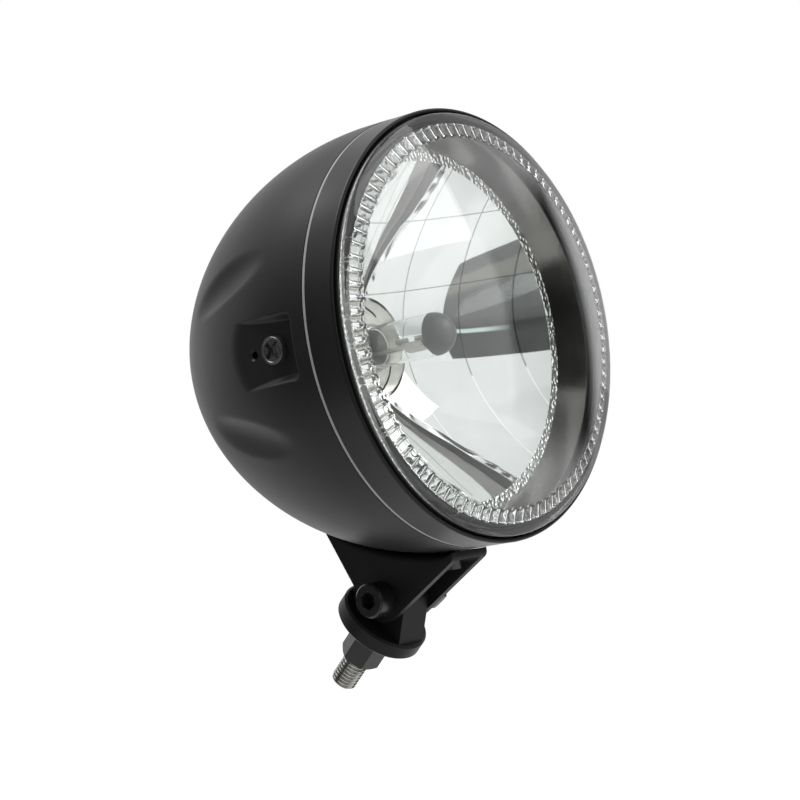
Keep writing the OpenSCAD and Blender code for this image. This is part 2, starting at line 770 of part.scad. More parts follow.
// Cable outlet: a frame at the crown's centre, with local +Z through the outlet
module at_outlet() {
    at_lamp() translate([0, crown_depth, 0]) rotate([-90 - outlet_angle, 0, 0]) children();
}
module cable_grommet() {
    lip = 2.2;
    spout = 6;
    inner_face = sqrt(pow(crown_r - bucket_wall, 2) - pow(outlet_r + lip, 2)) - 0.1;
    neck_r = outlet_r - seat_gap;
    color([0.07, 0.07, 0.07]) at_outlet() rotate_extrude() difference() {
        union() {
            section(0, neck_r, inner_face - 1, crown_r + 1);
            section(0, outlet_r + lip, inner_face - 2, inner_face);
            section(0, outlet_r + lip, crown_r + 0.05, crown_r + 2);
            section(0, cable_r + 2, crown_r + 1, crown_r + spout);
        }
        section(-over, cable_r, 0, crown_r + spout + over);
    }
}

bucket();
bucket_gasket();
trim_ring();
lens();
lens_gasket();
reflector();
mounting_ring();
insert_clips();
side_screws();
side_nuts();
bulb_glass();
bulb_filaments();
bulb_collar();
bulb_socket();
bulb_terminals();
bulb_clip();
bulb_boot();
bracket();
bracket_plate();
bracket_screws();
bracket_nuts();
pivot_bolt();
pivot_washer();
pivot_nut();
swivel_base();
stud();
stud_nut();
cable_grommet();
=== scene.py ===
import math

import bpy
from mathutils import Matrix, Vector


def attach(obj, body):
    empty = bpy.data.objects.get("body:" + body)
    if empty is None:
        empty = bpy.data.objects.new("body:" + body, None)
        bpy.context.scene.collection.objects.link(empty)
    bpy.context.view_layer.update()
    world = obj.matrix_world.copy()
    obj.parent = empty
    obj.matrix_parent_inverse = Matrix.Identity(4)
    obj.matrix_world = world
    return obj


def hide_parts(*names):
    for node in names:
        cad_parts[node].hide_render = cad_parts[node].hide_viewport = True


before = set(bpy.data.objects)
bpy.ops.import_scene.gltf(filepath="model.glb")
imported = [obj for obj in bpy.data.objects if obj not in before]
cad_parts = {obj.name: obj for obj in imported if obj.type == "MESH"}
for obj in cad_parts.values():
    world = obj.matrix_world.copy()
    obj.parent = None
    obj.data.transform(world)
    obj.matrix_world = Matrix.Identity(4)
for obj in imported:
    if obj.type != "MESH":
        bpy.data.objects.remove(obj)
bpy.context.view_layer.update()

# Lamp coordinates are millimetres: x to the right, depth behind the front plane of the
# trim ring, and height above the lamp's axis. Local pieces have their axis along Z.
MM = 0.001
MERGE = 0.002
AXIS_BACK = 88.246
AXIS_UP = 116.976
PIVOT = Vector((0.0, -29.646, 24.876))
STUD_TILT = math.radians(50)
LAMP = Matrix(((1, 0, 0, 0), (0, 0, 1, -AXIS_BACK * MM), (0, -1, 0, AXIS_UP * MM), (0, 0, 0, 1)))
PIVOT_STUD = Matrix.Translation(PIVOT * MM) @ Matrix.Rotation(STUD_TILT, 4, "X")


# Modelling helpers


def start_point(name):
    """A new piece that is one point at the origin, left in edit mode."""
    bpy.ops.object.select_all(action="DESELECT")
    bpy.ops.mesh.primitive_plane_add(size=MM)
    piece = bpy.context.object
    piece.name = piece.data.name = name
    bpy.ops.object.mode_set(mode="EDIT")
    bpy.ops.mesh.merge(type="CENTER")
    return piece


def draw_line(points):
    """Draws a line through points, in mm, by extruding the one point that is selected."""
    points = [Vector(p) * MM for p in points]
    bpy.ops.transform.translate(value=points[0])
    for here, there in zip(points, points[1:]):
        bpy.ops.mesh.extrude_vertices_move(TRANSFORM_OT_translate={"value": there - here})


def tidy_mesh():
    bpy.ops.mesh.select_all(action="SELECT")
    bpy.ops.mesh.remove_doubles(threshold=MERGE * MM)
    bpy.ops.mesh.normals_make_consistent(inside=False)


def lathe(name, profile, steps):
    """Turns a profile of (radius, height) points, in mm, round local Z."""
    piece = start_point(name)
    draw_line([(r, 0.0, z) for r, z in profile])
    bpy.ops.object.mode_set(mode="OBJECT")
    apply_modifier(
        piece, "SCREW", axis="Z", angle=2 * math.pi, steps=steps, render_steps=steps,
        use_merge_vertices=True, merge_threshold=MERGE * MM)
    bpy.ops.object.mode_set(mode="EDIT")
    tidy_mesh()
    bpy.ops.object.mode_set(mode="OBJECT")
    return piece


def slab(name, outline, levels):
    """A block with an outline in local XY, in mm, extruded from level to level along Z."""
    piece = start_point(name)
    draw_line([(x, y, levels[0]) for x, y in [*outline, outline[0]]])
    bpy.ops.mesh.select_all(action="SELECT")
    bpy.ops.mesh.remove_doubles(threshold=MERGE * MM)
    bpy.ops.mesh.edge_face_add()
    for here, there in zip(levels, levels[1:]):
        bpy.ops.mesh.extrude_region_move(
            TRANSFORM_OT_translate={"value": (0, 0, (there - here) * MM)})
    tidy_mesh()
    bpy.ops.object.mode_set(mode="OBJECT")
    return piece


def only(piece):
    bpy.ops.object.select_all(action="DESELECT")
    piece.select_set(True)
    bpy.context.view_layer.objects.active = piece


def place(piece, matrix):
    """Moves a piece from its own axes to the row and leaves its object at the origin."""
    only(piece)
    piece.matrix_world = matrix
    bpy.ops.object.transform_apply(location=True, rotation=True, scale=True)
    return piece


def apply_modifier(piece, kind, **settings):
    only(piece)
    modifier = piece.modifiers.new(kind.lower(), kind)
    for key, value in settings.items():
        setattr(modifier, key, value)
    bpy.ops.object.modifier_apply(modifier=modifier.name)
    return piece


def combine(piece, tool, operation="DIFFERENCE"):
    """Cuts, joins or trims a piece by a tool, which is used up."""
    apply_modifier(piece, "BOOLEAN", object=tool, operation=operation, solver="EXACT")
    bpy.data.objects.remove(tool)
    return piece


def round_edges(piece, width, angle=35):
    return apply_modifier(
        piece, "BEVEL", width=width * MM, segments=2, limit_method="ANGLE",
        angle_limit=math.radians(angle), use_clamp_overlap=True)


def smooth(piece, angle=35):
    only(piece)
    bpy.ops.object.shade_smooth_by_angle(angle=math.radians(angle))
    return piece


def press(piece, amount, direction="NORMAL"):
    """Moves each point by amount(position, normal), in mm, along direction. The amounts are
    weights of one Displace modifier."""
    moves = [amount(v.co / MM, v.normal) for v in piece.data.vertices]
    shift = 0.0 if min(moves) * max(moves) >= 0 else min(moves)
    reach = max((move - shift for move in moves), key=abs)
    group = piece.vertex_groups.new(name="press")
    for index, move in enumerate(moves):
        group.add([index], (move - shift) / reach, "REPLACE")
    for strength, name in ((shift, ""), (reach, "press")):
        if strength:
            apply_modifier(
                piece, "DISPLACE", direction=direction, mid_level=0.0, strength=strength * MM,
                vertex_group=name)
    piece.vertex_groups.clear()
    return piece


def select_faces(piece, wanted):
    """Selects the faces whose middle, in mm, is wanted, and goes to edit mode."""
    only(piece)
    for polygon in piece.data.polygons:
        polygon.select = wanted(polygon.center / MM)
    for edge in piece.data.edges:
        edge.select = False
    for vertex in piece.data.vertices:
        vertex.select = False
    bpy.context.tool_settings.mesh_select_mode = (False, False, True)
    bpy.ops.object.mode_set(mode="EDIT")


def subdivide_where(piece, wanted, cuts):
    select_faces(piece, wanted)
    bpy.ops.mesh.subdivide(number_cuts=cuts, quadcorner="INNERVERT")
    bpy.context.tool_settings.mesh_select_mode = (True, False, False)
    bpy.ops.object.mode_set(mode="OBJECT")


def arc(centre, radius, start, end, count):
    """Points on an arc, with its angles in degrees from the first coordinate's direction."""
    turns = [math.radians(start + (end - start) * i / count) for i in range(count + 1)]
    return [(centre[0] + radius * math.cos(t), centre[1] + radius * math.sin(t)) for t in turns]


def span(start, end, count):
    return [start + (end - start) * i / count for i in range(count + 1)]


def soft_floor(value, softness):
    """The larger of value and 0, rounded where they meet."""
    if value <= -softness:
        return 0.0
    if value >= softness:
        return value
    return (value + softness) ** 2 / (4 * softness)


def soft_least(a, b, softness):
    return a - soft_floor(a - b, softness)


# Shader helpers


class Socket:
    """A shader output that takes part in arithmetic by adding Math nodes."""

    def __init__(self, finish, output):
        self.finish, self.output = finish, output

    def maths(self, operation, *values):
        return self.finish.node("ShaderNodeMath", {"operation": operation}, dict(enumerate(values)))

    def __add__(self, other):
        return self.maths("ADD", self, other)

    def __sub__(self, other):
        return self.maths("SUBTRACT", self, other)

    def __rsub__(self, other):
        return self.maths("SUBTRACT", other, self)

    def __mul__(self, other):
        return self.maths("MULTIPLY", self, other)

    def __pow__(self, other):
        return self.maths("POWER", self, other)

    __radd__ = __add__
    __rmul__ = __mul__


class Finish:
    """A material whose shader gets constants here and varying values from nodes."""

    def __init__(self, name, **constants):
        self.material = bpy.data.materials.new(name)
        self.material.use_nodes = True
        self.tree = self.material.node_tree
        self.shader = self.tree.nodes["Principled BSDF"]
        for key, value in constants.items():
            self.shader.inputs[key.replace("_", " ")].default_value = value
        self.place = self.node("ShaderNodeTexCoord", output="Object")

    def node(self, kind, settings=None, values=None, output=0):
        node = self.tree.nodes.new(kind)
        for key, value in (settings or {}).items():
            if key == "stops":
                ramp = node.color_ramp
                while len(ramp.elements) < len(value):
                    ramp.elements.new(0.5)
                for element, (position, colour) in zip(ramp.elements, value):
                    element.position, element.color = position, colour
            else:
                setattr(node, key, value)
        for key, value in (values or {}).items():
            self.feed(value, node.inputs[key])
        return Socket(self, node.outputs[output])

    def feed(self, value, socket):
        if isinstance(value, Socket):
            self.tree.links.new(value.output, socket)
        else:
            socket.default_value = value

    def set(self, **values):
        for key, value in values.items():
            self.feed(value, self.shader.inputs[key.replace("_", " ")])

    def noise(self, scale, detail=3.0, roughness=0.5, where=None):
        return self.node("ShaderNodeTexNoise", None, {
            "Vector": where or self.place, "Scale": scale, "Detail": detail, "Roughness": roughness})

    def band(self, value, low, high):
        """0 below low, 1 above high, smooth between."""
        return self.node("ShaderNodeMapRange", {"interpolation_type": "SMOOTHSTEP"}, {
            "Value": value, "From Min": low, "From Max": high})

    def blend(self, amount, first, second):
        return self.node("ShaderNodeMix", {"data_type": "RGBA"}, {0: amount, 6: first, 7: second}, 2)

    def axes(self):
        """The three Object coordinates, in metres."""
        split = self.node("ShaderNodeSeparateXYZ", None, {0: self.place})
        return [Socket(self, split.output.node.outputs[i]) for i in range(3)]

    def from_axis(self):
        """Distance from the lamp's axis, in millimetres."""
        x, _, z = self.axes()
        height = z - AXIS_UP * MM
        return (x * x + height * height) ** 0.5 * 1000.0

    def bump(self, height, strength, distance):
        self.set(Normal=self.node("ShaderNodeBump", None, {
            "Height": height, "Strength": strength, "Distance": distance * MM}))


def grey(value, tint=(1.0, 1.0, 1.0)):
    return (value * tint[0], value * tint[1], value * tint[2], 1.0)


def through_for_lamps(finish):
    """Lets rays to the lamps through clear glass."""
    tree = finish.tree
    output = tree.nodes["Material Output"]
    path = finish.node("ShaderNodeLightPath", output="Is Shadow Ray")
    clear = finish.node("ShaderNodeBsdfTransparent")
    mixed = finish.node("ShaderNodeMixShader", None, {0: path, 2: clear})
    tree.links.new(finish.shader.outputs[0], mixed.output.node.inputs[1])
    tree.links.new(mixed.output, output.inputs["Surface"])
    return mixed


def coat_with(finish, surface, amount, colour, rough):
    """Covers part of a clear piece with an opaque layer, where amount is 1."""
    layer = finish.node("ShaderNodeBsdfPrincipled", None, {
        "Base Color": grey(colour), "Roughness": rough, "Specular IOR Level": 0.5})
    covered = finish.node("ShaderNodeMixShader", None, {0: amount, 2: layer})
    finish.tree.links.new(surface.output, covered.output.node.inputs[1])
    finish.tree.links.new(covered.output, finish.tree.nodes["Material Output"].inputs["Surface"])


# Finishes

MIRROR_TINT = (0.985, 1.0, 0.99)
WALL_TINT = (1.0, 0.98, 0.93)
GLASS_R = 77.2
TIP_PAINT_END = 21.5
FACET_X = (-64.0, -55.0, -36.5, -17.5, 1.6, 20.3, 39.7, 55.0, 64.0)
FACET_H = (-64.0, -17.0, 20.2, 44.3, 64.0)
# Height below which the lines at the facet borders are a painted highlight instead of painted shade.
PAINTED_HIGHLIGHT_LINES_TOP = -15.0


def satin_black(name, colour, rough, specular=0.14):
    """Powder-coated black: fine orange peel, a little dust, and worn, lighter patches."""
    finish = Finish(name, Specular_IOR_Level=specular)
    patches = finish.noise(35, 4, 0.6)
    fine = finish.noise(900, 2, 0.5)
    dusty = finish.band(finish.noise(110, 6, 0.7), 0.52, 0.75) * 0.35
    finish.set(
        Base_Color=finish.blend(dusty, grey(colour), grey(colour * 1.9, (1.0, 0.99, 0.97))),
        Roughness=rough + 0.10 * (patches - 0.5) + 0.06 * (fine - 0.5))
    finish.bump(finish.noise(1500, 3, 0.6), 0.05, 0.3)
    return finish


def machined_black(name, colour, rough, specular):
    """Black oxide on steel: darker and glossier, with faint turning marks and rubbed spots."""
    finish = Finish(name, Specular_IOR_Level=specular)
    rub = finish.band(finish.noise(260, 5, 0.7), 0.56, 0.70)
    finish.set(
        Base_Color=finish.blend(rub * 0.5, grey(colour), grey(colour * 2.6, (1.0, 0.97, 0.93))),
        Roughness=rough + 0.16 * (finish.noise(140, 4) - 0.5))
    finish.bump(finish.noise(2200, 2), 0.05, 0.2)
    return finish


def bright_metal(name, colour, rough, tint, stain=0.25):
    """Bare or plated metal with slightly darker, cloudy stains."""
    finish = Finish(name, Metallic=1.0)
    cloud = finish.band(finish.noise(220, 5, 0.65), 0.42, 0.72)
    finish.set(
        Base_Color=finish.blend(cloud * stain, grey(colour, tint), grey(colour * 0.55, tint)),
        Roughness=rough + 0.18 * (finish.noise(400, 3) - 0.5))
    finish.bump(finish.noise(1800, 2), 0.06, 0.2)
    return finish


def soft_black(name, colour, rough):
    """Rubber: dull, slightly uneven."""
    finish = Finish(name, Specular_IOR_Level=0.3)
    finish.set(
        Base_Color=finish.blend(finish.noise(300, 4), grey(colour * 0.8), grey(colour * 1.3)),
        Roughness=rough + 0.1 * (finish.noise(90, 3) - 0.5))
    finish.bump(finish.noise(1200, 3), 0.12, 0.2)
    return finish


def clear_glass(name, tint):
    finish = Finish(name, Transmission_Weight=1.0, IOR=1.47, Roughness=0.0, Base_Color=tint)
    finish.bump(finish.noise(60, 2, 0.4), 0.02, 0.2)
    return finish, through_for_lamps(finish)


def lens_glass():
    """Clear glass whose edge sits in a black seal."""
    finish, surface = clear_glass("lens_clear", (0.985, 1.0, 0.995, 1.0))
    sealed = finish.band(finish.from_axis(), GLASS_R - 0.15, GLASS_R - 0.05)
    coat_with(finish, surface, sealed, 0.012, 0.3)
    return finish


def bulb_envelope():
    """Clear bulb with an opaque grey-black tip."""
    finish, surface = clear_glass("bulb_clear", (0.98, 1.0, 0.99, 1.0))
    depth = finish.axes()[1] * 1000.0 + AXIS_BACK
    edge = TIP_PAINT_END + 0.5 * (finish.noise(500, 3) - 0.5)
    coat_with(finish, surface, 1 - finish.band(depth - edge, -0.2, 0.2), 0.16, 0.42)
    return finish


def mirror():
    """The mirror on the reflector's neck, almost clean."""
    finish = Finish("reflector_mirror", Metallic=1.0)
    haze = finish.noise(90, 4, 0.6)
    clean = finish.blend(haze, grey(0.902, MIRROR_TINT), grey(0.93, MIRROR_TINT))
    finish.set(Base_Color=clean, Roughness=0.02 + 0.03 * haze)
    return finish


def facet_mirror():
    """The bowl's mirror, with thin lines painted where its facets meet: painted shade high up, and a
    painted highlight low down.
    """
    finish = Finish("bowl_mirror", Metallic=1.0)
    haze = finish.noise(90, 4, 0.6)
    x, _, z = finish.axes()
    clean = finish.blend(haze, grey(0.76, MIRROR_TINT), grey(0.88, MIRROR_TINT))
    height = z * 1000.0 - AXIS_UP
    across, along = near_border(x * 1000.0, FACET_X), near_border(height, FACET_H[2:])
    gap = across.maths("MINIMUM", across, along)
    # Lines at the facet borders: painted shade high in the bowl, and a painted highlight low down.
    line = finish.blend(
        finish.band(height, PAINTED_HIGHLIGHT_LINES_TOP - 1, PAINTED_HIGHLIGHT_LINES_TOP + 1),
        grey(0.97, MIRROR_TINT), grey(0.42, MIRROR_TINT))
    finish.set(
        Base_Color=finish.blend(finish.band(gap, 0.1, 0.35), line, clean),
        Roughness=0.02 + 0.03 * haze)
    return finish


def near_border(place, borders):
    """Distance from a place to the nearest of the borders."""
    least = (place - borders[0]).maths("ABSOLUTE", place - borders[0])
    for border in borders[1:]:
        least = least.maths("MINIMUM", least, least.maths("ABSOLUTE", place - border))
    return least


def stippled_mirror():
    """Pebbled band round the bowl's mouth."""
    finish = Finish(
        "band_stipple", Metallic=1.0, Base_Color=grey(0.80, MIRROR_TINT), Roughness=0.12)
    pebbles = finish.node("ShaderNodeTexVoronoi", {"feature": "SMOOTH_F1"}, {
        "Vector": finish.place, "Scale": 620.0, "Smoothness": 0.4})
    finish.bump(pebbles, 1.0, 0.9)
    return finish


def dull_mirror():
    """Wall between the glass and the band: a darker, softer mirror."""
    finish = Finish("wall_mirror", Metallic=1.0)
    cloud = finish.noise(60, 3, 0.5)
    finish.set(
        Base_Color=finish.blend(cloud, grey(0.20, WALL_TINT), grey(0.32, WALL_TINT)),
        Roughness=0.12 + 0.1 * cloud)
    return finish


FINISHES = {
    "bucket_paint": satin_black("bucket_satin", 0.0105, 0.40),
    "trim_paint": satin_black("trim_satin", 0.0105, 0.34, specular=0.16),
    "bracket_paint": satin_black("bracket_satin", 0.007, 0.46),
    "base_paint": satin_black("base_satin", 0.007, 0.42),
    "joint_gasket": soft_black("joint_pale_grey", 0.25, 0.5),
    "seal_rubber": soft_black("seal_rubber_black", 0.02, 0.6),
    "bolt_black": machined_black("bolt_oxide", 0.012, 0.26, 0.26),
    "black_screw": machined_black("screw_oxide", 0.03, 0.28, 0.6),
    "stud_steel": bright_metal("stud_bright", 0.42, 0.22, (1.0, 0.99, 0.95)),
    "zinc_steel": bright_metal("zinc_plate", 0.60, 0.38, (1.0, 0.99, 0.93)),
    "collar_steel": bright_metal("collar_plate", 0.72, 0.24, (1.0, 0.98, 0.92), 0.15),
    "lamp_wire": bright_metal("lamp_nickel", 0.50, 0.32, (1.0, 0.97, 0.9)),
    "blade_metal": bright_metal("blade_tin", 0.70, 0.30, (1.0, 0.95, 0.80)),
    "socket_body": soft_black("socket_ceramic", 0.60, 0.5),
    "mirror_metal": mirror(),
    "clear_glass": lens_glass(),
    "bulb_envelope": bulb_envelope(),
}
for name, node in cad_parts.items():
    for slot in node.material_slots:
        slot.material = FINISHES[slot.material.name.split(".")[0]].material


def hand_over(piece, slot, body, *nodes, finish=None):
    """Gives a finished piece its material and its body, and hides the nodes that it stands for."""
    piece.data.materials.clear()
    piece.data.materials.append((finish or FINISHES[slot]).material)
    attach(piece, body)
    if nodes:
        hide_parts(*nodes)
    return piece


# Bucket

BODY_R = 79.3
TRIM_REAR = 12.4
BEAD_R = 0.85
MOUTH = 13.8
SHOULDER = 22.0
FLANK_R = 112.0
FLANK_X = BODY_R - FLANK_R
CROWN_R = 65.755
CROWN_DEPTH = 54.7
WALL = 1.3
SCREW_DEPTH = 31.0
SCREW_HOLE = 2.8
POCKET_FLOOR = 75.5
POCKET_FRONT = 20.0
POCKET_REAR = 53.0
POCKET_HALF = 12.0
POCKET_CORNER = 3.0
FRONT_SLOPE = 2.6
SIDE_SLOPE = 1.5
REAR_SLOPE = 0.34
DRAIN_DEPTH = SCREW_DEPTH + 11
DRAIN_FACE = 75.0
DRAIN_R = 1.3
COUNTERSINK = 2.6
DENT_DEPTH = 58.0
DENT_ANGLE = math.radians(22)
DENT_TWIST = math.radians(9)
DENT_R = 12.0
DENT_SINK = 2.4
OUTLET_ANGLE = math.radians(35)
OUTLET_R = 7.0
PRESSED_FROM = 14.0
PRESSED_TO = 96.0
DENTS_FROM = 36.0
DENTS_TO = 86.0
DENTS_HALF = 44.0


def flank_lean(depth):
    """Angle between the flank and the lamp's axis."""
    return math.asin((depth - SHOULDER) / FLANK_R)


def flank_radius(depth):
    """The bucket's outer radius behind its shoulder."""
    return FLANK_X + FLANK_R * math.cos(flank_lean(depth))


def pocket_sink(point):
    """Depth of a side pocket: steep in front, sloped above and below, fading out behind."""
    front, rear = point.z - POCKET_FRONT, POCKET_REAR - point.z
    side = POCKET_HALF - abs(point.y)
    corner = POCKET_CORNER - math.hypot(
        max(POCKET_CORNER - front, 0.0), max(POCKET_CORNER - side, 0.0))
    radius = math.hypot(point.x, point.y)
    to_floor = radius - POCKET_FLOOR * radius / abs(point.x)
    walls = soft_least(FRONT_SLOPE * min(front, corner), SIDE_SLOPE * side, 0.5)
    walls = soft_least(walls, REAR_SLOPE * rear, 0.6)
    return soft_floor(soft_least(to_floor, walls, 0.5), 0.6)


def sheet_error(point):
    """How far a point of the flank lies inside the true surface, along the normal."""
    true = flank_radius(point.z) if point.z > SHOULDER else BODY_R
    lean = flank_lean(max(point.z, SHOULDER))
    return (true - math.hypot(point.x, point.y)) * math.cos(lean)


def dent_sink(point, normal, above):
    """Depth of one pressed dent: the far side of a round tool, measured inwards."""
    lean = flank_lean(DENT_DEPTH)
    side = 1 if point.x > 0 else -1
    axis_r = flank_radius(DENT_DEPTH) + (DENT_R - DENT_SINK) * math.cos(lean)
    turn = above * DENT_ANGLE
    out = Vector((side * math.cos(turn), -math.sin(turn), 0))
    across = Vector((side * math.sin(turn), math.cos(turn), 0))
    centre = out * axis_r + Vector((0, 0, DENT_DEPTH + (DENT_R - DENT_SINK) * math.sin(lean)))
    along = -math.sin(lean) * out + math.cos(lean) * Vector((0, 0, 1))
    axis = math.cos(DENT_TWIST) * along + above * math.sin(DENT_TWIST) * across
    offset = point - centre
    offset -= offset.dot(axis) * axis
    fall = normal - normal.dot(axis) * axis
    size = fall.dot(fall)
    lead = offset.dot(fall)
    root = lead * lead - size * (offset.dot(offset) - DENT_R ** 2)
    if root <= 0 or point.dot(out) < 0:
        return -9.0
    return (lead + math.sqrt(root)) / size


def bucket_press(point, normal):
    """How far a point moves outwards: on to the true surface, and into pocket and dents."""
    if not PRESSED_FROM < point.z < PRESSED_TO:
        return 0.0
    sink = max(dent_sink(point, normal, 1), dent_sink(point, normal, -1))
    sink = soft_floor(sink, 1.1)
    if abs(point.x) > 55 and point.z < POCKET_REAR + 3:
        sink = max(sink, pocket_sink(point))
    return sheet_error(point) - sink


def near_presses(middle):
    """The stretch of each side that holds the pocket and the dents."""
    pocket = abs(middle.y) < POCKET_HALF + 2.5 and POCKET_FRONT - 3 < middle.z < DENTS_TO
    dents = abs(middle.y) < DENTS_HALF and DENTS_FROM < middle.z < DENTS_TO
    return abs(middle.x) > 38 and (pocket or dents)


def near_pocket_rim(middle):
    """Where the pocket's front, upper and lower walls need small faces."""
    long = POCKET_FRONT - 1.5 < middle.z < POCKET_REAR - 4
    high = abs(middle.y) < POCKET_HALF + 1
    ends = middle.z < POCKET_FRONT + 3.2
    edges = abs(middle.y) > POCKET_HALF - 3.6
    return abs(middle.x) > 60 and long and high and (ends or edges)


def make_bucket():
    """The pressed shell: a straight mouth, a flank that curves in, and a round crown."""
    flank = arc((FLANK_X, SHOULDER), FLANK_R, 0, 45, 46)
    crown = arc((0.0, CROWN_DEPTH), CROWN_R, 45, 90, 20)
    crown[-1] = (0.0, CROWN_DEPTH + CROWN_R)
    profile = [(BODY_R, z) for z in span(MOUTH, SHOULDER, 4)[:-1]] + flank + crown[1:]
    piece = lathe("bucket_shell", profile, 224)
    subdivide_where(piece, near_presses, 1)
    subdivide_where(piece, near_pocket_rim, 2)
    press(piece, bucket_press)
    apply_modifier(piece, "SOLIDIFY", thickness=WALL * MM, offset=-1.0, use_even_offset=True)
    for depth, radius in ((SCREW_DEPTH, SCREW_HOLE), (DRAIN_DEPTH, DRAIN_R)):
        bpy.ops.mesh.primitive_cylinder_add(
            vertices=40, radius=radius * MM, depth=200 * MM, location=(0, 0, depth * MM),
            rotation=(0, math.pi / 2, 0))
        combine(piece, bpy.context.object)
    for side in (-1, 1):
        bpy.ops.mesh.primitive_cone_add(
            vertices=40, radius1=0, radius2=COUNTERSINK * MM, depth=COUNTERSINK * MM,
            rotation=(0, side * math.pi / 2, 0),
            location=(side * (DRAIN_FACE - 0.2) * MM, 0, DRAIN_DEPTH * MM))
        combine(piece, bpy.context.object)
    outlet = Vector((0, math.sin(OUTLET_ANGLE), math.cos(OUTLET_ANGLE))) * CROWN_R
    outlet.z += CROWN_DEPTH
    bpy.ops.mesh.primitive_cylinder_add(
        vertices=64, radius=OUTLET_R * MM, depth=60 * MM, rotation=(-OUTLET_ANGLE, 0, 0),
        location=outlet * MM)
    combine(piece, bpy.context.object)
    smooth(piece, 40)
    place(piece, LAMP)
    return hand_over(piece, "bucket_paint", "lamp", "bucket")


# Joint line and trim ring

JOINT_R = 79.15
TRIM_R = 79.25
TRIM_IN = 78.0


def make_joint():
    """A pale grey ring that shows as a line between the trim ring and the bucket."""
    section = [
        (TRIM_IN, TRIM_REAR), (JOINT_R - 0.25, TRIM_REAR), (JOINT_R, TRIM_REAR + 0.2),
        (JOINT_R, MOUTH - 0.2), (JOINT_R - 0.25, MOUTH), (TRIM_IN, MOUTH), (TRIM_IN, TRIM_REAR)]
    ring = lathe("joint_ring", section, 256)
    smooth(ring, 40)
    place(ring, LAMP)
    return hand_over(ring, "joint_gasket", "lamp", "bucket_gasket")


def make_trim_ring():
    """The band in front of the joint, with its rolled front edge."""
    bead = arc((BODY_R - BEAD_R, BEAD_R), BEAD_R, 0, -215, 24)
    section = [
        (TRIM_IN, TRIM_REAR), (TRIM_R, TRIM_REAR), (TRIM_R, 1.2), *bead, (TRIM_IN, 1.8),
        (TRIM_IN, TRIM_REAR)]
    ring = lathe("trim_band", section, 256)
    smooth(ring, 40)
    place(ring, LAMP)
    return hand_over(ring, "trim_paint", "lamp", "trim_ring")


# Side screws

SCREW_R = 2.5
SCREW_LENGTH = 11.0
HEAD_R = 5.0
HEAD_H = 2.8
CROSS_LONG = 7.4
CROSS_WIDE = 1.9
CROSS_FLOOR = 0.7
CROSS_TURN = 40


def make_side_screws():
    """A pan-head screw in each pocket, with a raised rim and a wide cross recess."""
    head = [
        (0, HEAD_H - 0.3), (HEAD_R - 1.1, HEAD_H - 0.35), (HEAD_R - 0.8, HEAD_H - 0.05),
        (HEAD_R - 0.4, HEAD_H), (HEAD_R - 0.1, HEAD_H - 0.3), (HEAD_R, HEAD_H - 0.8), (HEAD_R, 0),
        (SCREW_R, 0), (SCREW_R, -SCREW_LENGTH), (0, -SCREW_LENGTH)]
    arm_h = 3.4
    screws = []
    for side in (-1, 1):
        screw = lathe(f"side_screw_{len(screws)}", head, 64)
        for turn in (CROSS_TURN, CROSS_TURN + 90):
            bpy.ops.mesh.primitive_cube_add(
                size=1.0, location=(0, 0, (CROSS_FLOOR + arm_h / 2) * MM),
                rotation=(0, 0, math.radians(turn)))
            arm = bpy.context.object
            arm.scale = (CROSS_LONG * MM, CROSS_WIDE * MM, arm_h * MM)
            bpy.ops.object.transform_apply(location=False, rotation=False, scale=True)
            round_edges(arm, 0.4)
            combine(screw, arm)
        well = lathe("screw_well", [(0, 4.0), (2.3, 4.0), (1.6, 0.4), (0, 0.1)], 32)
        combine(screw, well)
        round_edges(screw, 0.12, 50)
        smooth(screw, 35)
        seat = Matrix.Translation((side * POCKET_FLOOR * MM, 0, SCREW_DEPTH * MM))
        place(screw, LAMP @ seat @ Matrix.Rotation(side * math.pi / 2, 4, "Y"))
        screws.append(hand_over(screw, "black_screw", "lamp"))
    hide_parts("side_screws")
    return screws


# Glass

DOME_R = 210.0
DOME_DEPTH = 193.57
GLASS_WALL = 3.0
FLUTES = 93
FLUTE_STEPS = 12
FLUTE_IN = 67.2
FLUTE_OUT = 72.5
FLUTE_H = 1.9
FLUTE_SEAT = 1.2
FLUTE_STRAIGHT = 1.6
PILLOW_FLAT = 2.4
PILLOW_EDGE = 0.6
FLANGE_R = 77.6
FLANGE_IN = 73.0
FLANGE_FRONT = 3.2
FLANGE_REAR = 5.4


def dome(radius, sphere):
    """Depth of the glass at a radius, on a sphere of its outside or inside."""
    return DOME_DEPTH - math.sqrt(sphere ** 2 - radius ** 2)


def flute_rise(point, normal):
    """Height of a pillow-shaped prism in its seat on the inside of the glass."""
    radius = math.hypot(point.x, point.y)
    if not FLUTE_IN - 0.1 < radius < FLUTE_OUT + 0.1 or point.z < dome(radius, DOME_R - 1.5):
        return 0.0
    pitch = 2 * math.pi / FLUTES
    turn = math.atan2(point.y, point.x) / pitch
    across = abs(turn - math.floor(turn) - 0.5) * 2
    from_middle = abs(radius - (FLUTE_IN + FLUTE_OUT) / 2)
    end_round = (FLUTE_OUT - FLUTE_IN) / 2 - FLUTE_STRAIGHT
    along = max(0.0, from_middle - FLUTE_STRAIGHT) / end_round
    pillow = math.sqrt(max(0.0, 1 - along ** 2))
    pillow *= max(0.0, 1 - across ** PILLOW_FLAT) ** PILLOW_EDGE
    return FLUTE_H * pillow - FLUTE_SEAT


